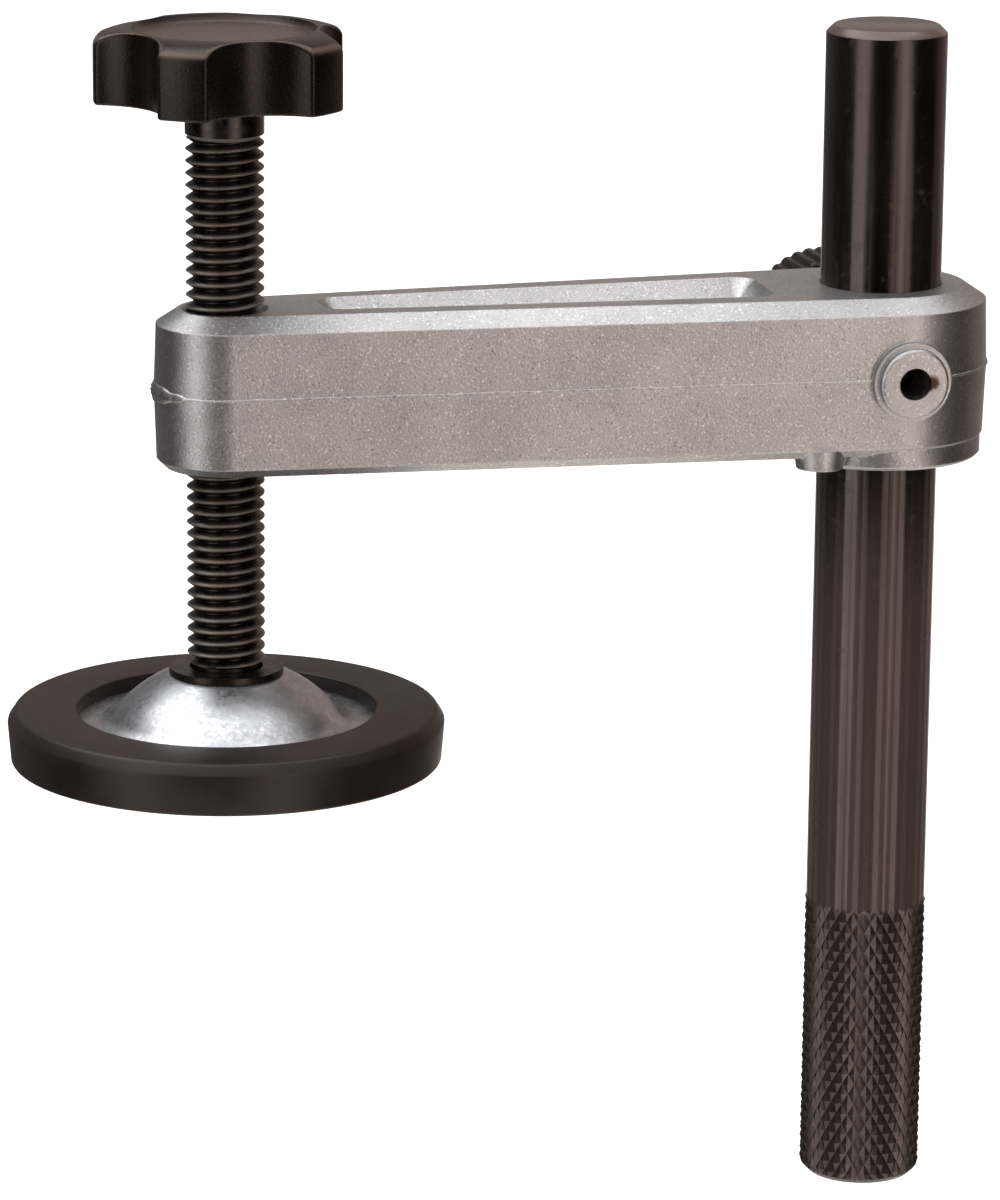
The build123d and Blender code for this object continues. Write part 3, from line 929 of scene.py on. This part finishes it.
def new_material(name, metallic=0.0, ior=1.5, sheen=WHITE):
    """The shader helper of a new principled material, and the output of the place on it."""
    made = bpy.data.materials.new(name)
    made.use_nodes = True
    shader = Shader(made.node_tree)
    shader.made = made
    shader.surface = shader.nodes["Principled BSDF"]
    shader.fill_named(shader.surface, Metallic=metallic, IOR=ior, Specular_Tint=sheen)
    return shader, shader.add("ShaderNodeTexCoord").outputs["Object"]


def finished(shader, colour, roughness, normal):
    """The material, after its colour, roughness and normal are joined to its surface."""
    shader.fill_named(shader.surface, Base_Color=colour, Roughness=roughness, Normal=normal)
    return shader.made


def wear_and_highlight_share(shader):
    """Share of wear and painted highlight, written on the mesh's vertices."""
    return shader.add("ShaderNodeAttribute", attribute_name="wear").outputs["Fac"]


def cast_aluminium():
    """Shot-blasted die casting: bright grain, faint clouds, a rusty chip by the hole."""
    shader, place = new_material("cast_aluminium", metallic=1.0)
    clouds = shader.speckle(place, scale=95, detail=4)
    grain = shader.speckle(place, scale=2700, detail=2, rough=0.6)
    fine = shader.speckle(place, scale=5200, detail=2)
    tone = shader.fade(clouds, (0.3, 0.7), CAST_SHADE, CAST_LIGHT)
    bright = shader.fade(grain, (0.56, 0.76), tone, CAST_GLINT)
    dark = shader.fade(grain, (0.42, 0.26), bright, CAST_PIT)
    chip = shader.add("ShaderNodeVectorMath", operation="DISTANCE")
    shader.join(place, chip.inputs[0])
    chip.inputs[1].default_value = CHIP_PLACE
    ragged = shader.speckle(place, scale=1500, detail=2)
    wobble = shader.maths("MULTIPLY_ADD", ragged, CHIP_WOBBLE, -CHIP_WOBBLE / 2)
    distance = shader.maths("ADD", chip.outputs["Value"], wobble)
    colour = shader.fade(distance, CHIP_SPAN, dark, CAST_CHIP)
    roughness = shader.smooth_step(fine, (0.3, 0.75), (0.36, 0.5))
    edged = shader.add("ShaderNodeBevel", samples=6)
    shader.fill_named(edged, Radius=CAST_EDGE_RADIUS)
    pitted = shader.bump(grain, strength=0.5, distance=0.09 * MM, normal=edged.outputs["Normal"])
    grained = shader.bump(fine, strength=0.3, distance=0.04 * MM, normal=pitted)
    return finished(shader, colour, roughness, grained)


def black_steel():
    """Blackened bar steel: dark gloss with drifting stains, fine scratches, worn crests lightened as
    painted glints.
    """
    shader, place = new_material("black_steel", ior=1.6, sheen=STEEL_SHEEN)
    drift = shader.speckle(place, scale=140, detail=4, rough=0.6, stretch=(1, 1, 0.22))
    blotch = shader.speckle(place, scale=420, detail=4, rough=0.6)
    scratch = shader.speckle(place, scale=2600, detail=2, rough=0.5, stretch=(1, 1, 0.05))
    ripple = shader.speckle(place, scale=60, detail=2, rough=0.5, stretch=(1, 1, 0.5))
    split = shader.add("ShaderNodeSeparateXYZ")
    shader.join(place, split.inputs[0])
    dulled = shader.smooth_step(split.outputs["Z"], DULLED_SPAN)
    tone = shader.fade(drift, (0.35, 0.7), STEEL_BLACK, STEEL_DRIFT)
    browned = shader.blend(dulled, tone, STEEL_BROWNED)
    greyed = shader.fade(split.outputs["Z"], FOOT_SPAN, browned, STEEL_FOOT)
    stained = shader.fade(blotch, (0.62, 0.8), greyed, STEEL_STAIN)
    scraped = shader.fade(scratch, (0.76, 0.9), stained, STEEL_SCRATCH)
    # Worn places lightened further as painted glints on the knurl crests and top chamfer
    colour = shader.fade(wear_and_highlight_share(shader), (0.55, 1.0), scraped, STEEL_WORN_GLINT)
    drifting = shader.smooth_step(drift, (0.3, 0.75), (0.18, 0.3))
    blotched = shader.smooth_step(blotch, (0.55, 0.8), (0.0, 0.2))
    rough = shader.maths("ADD", drifting, blotched)
    roughness = shader.maths("MULTIPLY_ADD", dulled, 0.08, rough)
    wavy = shader.bump(ripple, strength=0.32, distance=0.25 * MM)
    pitted = shader.bump(blotch, strength=0.22, distance=0.08 * MM, normal=wavy)
    scored = shader.bump(scratch, strength=0.06, distance=0.02 * MM, normal=pitted)
    return finished(shader, colour, roughness, scored)


def screw_steel():
    """Oiled black screw steel with a brown cast and rubbed thread crests lightened as painted
    highlights.
    """
    shader, place = new_material("screw_steel", ior=1.55, sheen=SCREW_SHEEN)
    blotch = shader.speckle(place, scale=600, detail=4, rough=0.6)
    fine = shader.speckle(place, scale=2400, detail=2)
    tone = shader.fade(blotch, (0.35, 0.7), SCREW_BLACK, SCREW_BLOTCH)
    # The worn colour also paints highlights along the thread crests
    colour = shader.fade(wear_and_highlight_share(shader), (0.6, 1.0), tone, SCREW_WORN_HIGHLIGHT)
    roughness = shader.smooth_step(blotch, (0.3, 0.75), (0.24, 0.42))
    grained = shader.bump(fine, strength=0.18, distance=0.04 * MM)
    return finished(shader, colour, roughness, grained)


def zinc_plate():
    """Bright zinc plating with bluish grey clouds and fine spangles."""
    shader, place = new_material("zinc_plate", metallic=1.0)
    clouds = shader.speckle(place, scale=260, detail=5, rough=0.65)
    spangle = shader.speckle(place, scale=1300, detail=4, rough=0.7)
    tone = shader.fade(clouds, (0.32, 0.62), ZINC_CLOUD, ZINC_BRIGHT)
    colour = shader.fade(spangle, (0.35, 0.65), ZINC_SPANGLE, tone)
    roughness = shader.smooth_step(spangle, (0.3, 0.7), (0.42, 0.27))
    grained = shader.bump(spangle, strength=0.2, distance=0.05 * MM)
    return finished(shader, colour, roughness, grained)


def knob_plastic():
    """Black moulded plastic with a fine spark-eroded texture, warm grey sheen, and a worn colour
    that paints highlights on the knob's top.
    """
    shader, place = new_material("knob_plastic", ior=1.52, sheen=KNOB_SHEEN)
    grain = shader.speckle(place, scale=2600, detail=2, rough=0.6)
    clouds = shader.speckle(place, scale=180, detail=3)
    tone = shader.fade(clouds, (0.3, 0.7), KNOB_BLACK, KNOB_CLOUD)
    # The worn colour is a painted highlight on the dish floor, crown and rubbed top edges
    colour = shader.fade(wear_and_highlight_share(shader), (0.0, 1.0), tone, KNOB_WORN_HIGHLIGHT)
    roughness = shader.smooth_step(grain, (0.3, 0.75), (0.22, 0.36))
    grained = shader.bump(grain, strength=0.4, distance=0.07 * MM)
    return finished(shader, colour, roughness, grained)


def pad_plastic():
    """Dark brown moulded rubbery plastic, satin, with faint scuffs."""
    shader, place = new_material("pad_plastic")
    shader.fill_named(shader.surface, Specular_IOR_Level=0.35)
    clouds = shader.speckle(place, scale=90, detail=4)
    fine = shader.speckle(place, scale=1700, detail=3, rough=0.6)
    tone = shader.fade(clouds, (0.3, 0.7), PAD_BROWN, PAD_CLOUD)
    colour = shader.fade(fine, (0.66, 0.85), tone, PAD_SCUFF)
    roughness = shader.smooth_step(clouds, (0.3, 0.7), (0.34, 0.46))
    grained = shader.bump(fine, strength=0.12, distance=0.04 * MM)
    return finished(shader, colour, roughness, grained)


def dress(piece, material):
    """Gives a piece one material."""
    piece.data.materials.clear()
    piece.data.materials.append(material)


# Wear and painted highlights, written on the vertices as shares between 0 and 1

# Wear and painted glints on the post's knurl crests and top chamfer
KNURL_WEAR_AND_GLINT = 0.75
KNURL_WEAR_AND_GLINT_DEPTH = 0.35 * KNURL_DEPTH
POST_TOP_WEAR_AND_GLINT = 0.78
POST_TOP_MARGIN = 0.05 * MM
# Painted sheen on the knob's dish floor and crown, and painted highlights along its rubbed top edges
DISH_HIGHLIGHT = 0.52
DISH_HIGHLIGHT_START = 0.7 * KNOB_DISH_DEPTH
DISH_MARGIN = 0.1 * MM
CROWN_HIGHLIGHT = 0.22
CROWN_MARGIN = 0.02 * MM
EDGE_WEAR_AND_HIGHLIGHT = 0.85
EDGE_HIGHLIGHT_MIDDLE = 0.22
EDGE_HIGHLIGHT_REACH = 0.45
# Wear on the shank's chamfer, and wear with painted highlights on the thread crests
SHANK_WEAR = 1.0
THREAD_WEAR_AND_HIGHLIGHT = 0.9
THREAD_WEAR_AND_HIGHLIGHT_DEPTH = 0.12 * THREAD_DEPTH


def paint_wear_and_highlight(piece, share_at):
    """Writes the share of wear and painted highlight at each vertex, from a function of its place.
    """
    # The wear attribute holds real wear and painted highlights alike
    attribute = piece.data.attributes.new("wear", "FLOAT", "POINT")
    values = [share_at(vertex.co) for vertex in piece.data.vertices]
    attribute.data.foreach_set("value", values)


def post_wear_and_glint(place):
    """Wear and painted glints on the post: the knurl's crests, and the chamfer and face at its top.
    """
    radius = math.hypot(place.x, place.y)
    if place.z < 0:
        return KNURL_WEAR_AND_GLINT * max(0.0, (radius - KNURL_CREST + KNURL_WEAR_AND_GLINT_DEPTH) / KNURL_WEAR_AND_GLINT_DEPTH)
    return POST_TOP_WEAR_AND_GLINT if place.z > post_high.z - POST_CHAMFER + POST_TOP_MARGIN else 0.0


def knob_wear_and_highlight(place):
    """Painted sheen on the knob's dish floor and crown, and painted highlights on its rubbed top
    edges.
    """
    radius = math.hypot(place.x - spindle_x, place.y)
    fall = knob_high.z - knob_crown(radius) - place.z
    scooped = KNOB_RADIUS - KNOB_SCALLOP_DEPTH
    rounding = knob_edge_round(max(0.0, radius - scooped) / KNOB_SCALLOP_DEPTH)
    if radius < KNOB_DISH_RADIUS + DISH_MARGIN:
        depth = knob_high.z - place.z
        return DISH_HIGHLIGHT if DISH_HIGHLIGHT_START < depth < KNOB_DISH_DEPTH + DISH_MARGIN else 0.0
    if fall < CROWN_MARGIN:
        return CROWN_HIGHLIGHT
    # Strongest a little way down the edge rounding, where the painted highlight goes
    return EDGE_WEAR_AND_HIGHLIGHT * max(0.0, 1 - abs(fall / rounding - EDGE_HIGHLIGHT_MIDDLE) / EDGE_HIGHLIGHT_REACH)


def spindle_wear_and_highlight(place):
    """Wear on the spindle: the thread's crests, lightened as painted highlights, and the shank's
    lower chamfer.
    """
    radius = math.hypot(place.x - spindle_x, place.y)
    if THREAD_START <= place.z <= THREAD_START + SHANK_CHAMFER:
        return SHANK_WEAR
    if place.z > THREAD_START or place.z < THREAD_END:
        return 0.0
    return THREAD_WEAR_AND_HIGHLIGHT if radius > THREAD_RADIUS - THREAD_WEAR_AND_HIGHLIGHT_DEPTH else 0.0


# Studio

OVERHEAD_AXIS = (-0.15, 0.1, 0.984)
ROOM_GLOW = (0.018, 0.013, 0.0115)
MIRRORED_WHITE = 0.14
FLOOR_GLOW = 0.42


def build_world():
    """Dim room lit from overhead, by a tall strip at each side and by weaker patches.

    Elevations and azimuths are in degrees, and azimuth 0 is -Y and 90 is +X. The world
    is white to the camera, and a little white from behind shows in reflections.
    """
    world = bpy.data.worlds.new("studio")
    bpy.context.scene.world = world
    world.use_nodes = True
    shader = Shader(world.node_tree)
    shader.nodes.clear()
    direction = shader.add("ShaderNodeTexCoord").outputs["Generated"]
    split = shader.add("ShaderNodeSeparateXYZ")
    shader.join(direction, split.inputs[0])
    forward = shader.maths("MULTIPLY", split.outputs["Y"], -1.0)
    around = shader.maths("ARCTAN2", split.outputs["X"], forward)
    azimuth = shader.maths("MULTIPLY", around, 180 / math.pi)
    height = shader.maths("ARCSINE", split.outputs["Z"])
    elevation = shader.maths("MULTIPLY", height, 180 / math.pi)

    def band(angle, limits, soft):
        """Share that is 1 between two angles and fades over the soft angle at each."""
        low, high = limits
        up = shader.smooth_step(angle, (low - soft, low + soft))
        down = shader.smooth_step(angle, (high - soft, high + soft), (1.0, 0.0))
        return shader.maths("MULTIPLY", up, down)

    def patch(elevations, soft_height, azimuths, soft_width):
        """Share that is 1 in a patch between two elevations and two azimuths."""
        upright_band = band(elevation, elevations, soft_height)
        return shader.maths("MULTIPLY", upright_band, band(azimuth, azimuths, soft_width))

    overhead = shader.add("ShaderNodeVectorMath", operation="DOT_PRODUCT")
    shader.join(direction, overhead.inputs[0])
    overhead.inputs[1].default_value = OVERHEAD_AXIS
    fading = shader.smooth_step(elevation, (-26, -2), (0.6, 1.0))
    tall = shader.maths("MULTIPLY", band(elevation, (-62, 42), 8), fading)
    right_rise = shader.smooth_step(azimuth, (-1, 18))
    right_fall = shader.smooth_step(azimuth, (26, 36), (1.0, 0.0))
    right = shader.maths("MULTIPLY", right_rise, right_fall)
    left = band(azimuth, (-75, -47), 6)
    rear_right = band(azimuth, (95, 140), 10)
    lights = {
        "overhead": (shader.smooth_step(overhead.outputs["Value"], (0.7, 0.85)), (2.1, 2.06, 2.04)),
        "underneath": (shader.smooth_step(elevation, (-34, -54)), (1.1, 1.0, 0.9)),
        "left strip": (shader.maths("MULTIPLY", tall, left), (2.3, 2.08, 2.1)),
        "right strip": (shader.maths("MULTIPLY", tall, right), (2.75, 2.3, 2.1)),
        "high left": (patch((42, 68), 8, (-155, -60), 12), (1.1, 1.07, 1.06)),
        "high front": (patch((50, 74), 6, (-60, 10), 10), (0.6, 0.58, 0.57)),
        "high right": (patch((42, 68), 8, (30, 120), 12), (1.0, 0.98, 0.97)),
        "rear right strip": (shader.maths("MULTIPLY", tall, rear_right), (0.28, 0.2, 0.175)),
        "low front": (patch((-62, -36), 6, (-40, 40), 12), (0.7, 0.6, 0.5)),
        "low rear": (patch((-62, -4), 5, (142, 179), 5), (1.0, 0.9, 0.86)),
        "upper rear": (patch((4, 40), 6, (130, 179), 10), (0.24, 0.165, 0.135)),
    }
    total = ROOM_GLOW
    for mask, colour in lights.values():
        added = shader.add("ShaderNodeMix", data_type="RGBA", blend_type="ADD")
        shader.fill(added.inputs["Factor"], 1.0)
        shader.fill(added.inputs[COLOUR_A], total)
        shader.fill(added.inputs[COLOUR_B], shader.blend(mask, BLACK, colour))
        total = added.outputs[COLOUR_RESULT]
    rays = shader.add("ShaderNodeLightPath").outputs
    mirror = shader.maths("MAXIMUM", rays["Is Glossy Ray"], rays["Is Transmission Ray"])
    behind = shader.smooth_step(split.outputs["Y"], (0.2, 0.9), (0.0, MIRRORED_WHITE))
    low_down = shader.smooth_step(elevation, (40, 20))
    seen = shader.maths("MULTIPLY", mirror, shader.maths("MULTIPLY", behind, low_down))
    white = shader.maths("MAXIMUM", rays["Is Camera Ray"], seen)
    background = shader.add("ShaderNodeBackground")
    shader.join(shader.blend(white, total, WHITE), background.inputs["Color"])
    output = shader.add("ShaderNodeOutputWorld")
    shader.join(background.outputs[0], output.inputs["Surface"])


def build_floor():
    """Pale floor below the clamp, which shows white and keeps the shadow."""
    corners = ((-1, -1), (1, -1), (1, 1), (-1, 1))
    mesh = bpy.data.meshes.new("floor")
    mesh.from_pydata(
        [(x * FLOOR_HALF_WIDTH, y * FLOOR_HALF_WIDTH, FLOOR_Z) for x, y in corners],
        [],
        [(0, 1, 2, 3)],
    )
    floor = bpy.data.objects.new("floor", mesh)
    bpy.context.scene.collection.objects.link(floor)
    made = bpy.data.materials.new("pale_floor")
    made.use_nodes = True
    shader = Shader(made.node_tree)
    rays = shader.add("ShaderNodeLightPath").outputs
    glow = shader.maths("MULTIPLY", rays["Is Camera Ray"], FLOOR_GLOW)
    surface = shader.nodes["Principled BSDF"]
    shader.fill_named(surface, Base_Color=FLOOR_PALE, Roughness=0.9, Specular_IOR_Level=0.0)
    shader.fill_named(surface, Emission_Color=WHITE, Emission_Strength=glow)
    floor.data.materials.append(made)
    floor.visible_glossy = False
    floor.visible_transmission = False


def build_camera():
    """Camera at the photograph's viewing angle."""
    yaw, pitch, roll = (math.radians(a) for a in (CAMERA_YAW, CAMERA_PITCH, CAMERA_ROLL))
    forward = Vector(
        (math.sin(yaw) * math.cos(pitch), math.cos(yaw) * math.cos(pitch), -math.sin(pitch))
    )
    level = Vector((math.cos(yaw), -math.sin(yaw), 0))
    upward = level.cross(forward)
    right = level * math.cos(roll) + upward * math.sin(roll)
    up = upward * math.cos(roll) - level * math.sin(roll)
    data = bpy.data.cameras.new("photo_camera")
    data.lens = CAMERA_LENS
    data.sensor_width = 36.0
    data.clip_start = 0.05
    data.clip_end = 50.0
    camera = bpy.data.objects.new("photo_camera", data)
    bpy.context.scene.collection.objects.link(camera)
    turned = Matrix((right, up, -forward)).transposed().to_4x4()
    camera.matrix_world = Matrix.Translation(CAMERA_PLACE) @ turned
    bpy.context.scene.camera = camera


def even_shading(node):
    """Splits a CAD node's mesh at its crisp edges and evens the normals between them."""
    welded = node.modifiers.new("welded", "WELD")
    welded.merge_threshold = 0.001 * MM
    crisp = node.modifiers.new("crisp", "EDGE_SPLIT")
    crisp.split_angle = math.radians(28)
    crisp.use_edge_sharp = False
    even_normals = node.modifiers.new("even_normals", "WEIGHTED_NORMAL")
    even_normals.mode = "FACE_AREA"
    even_normals.weight = 100


aluminium = cast_aluminium()
blackened = black_steel()
oiled = screw_steel()
zinc = zinc_plate()
grip_plastic = knob_plastic()
foot_plastic = pad_plastic()

for piece, finish, wear_and_highlight_at in (
    (build_post(), blackened, post_wear_and_glint),
    (build_spindle(), oiled, spindle_wear_and_highlight),
    (build_lock_screw(), oiled, None),
    (build_knob(), grip_plastic, knob_wear_and_highlight),
    (build_grip(), grip_plastic, None),
    (build_dome(), zinc, None),
    (build_pad(), foot_plastic, None),
    (build_flash(), aluminium, None),
):
    if wear_and_highlight_at:
        paint_wear_and_highlight(piece, wear_and_highlight_at)
    dress(piece, finish)
even_shading(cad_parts["arm"])
for node, finish in (
    ("arm", aluminium),
    ("swivel_washer", oiled),
    ("swivel_seat", zinc),
    ("retaining_clip", oiled),
):
    dress(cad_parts[node], finish)

build_world()
build_floor()
build_camera()
scene = bpy.context.scene
scene.view_settings.view_transform = "Standard"
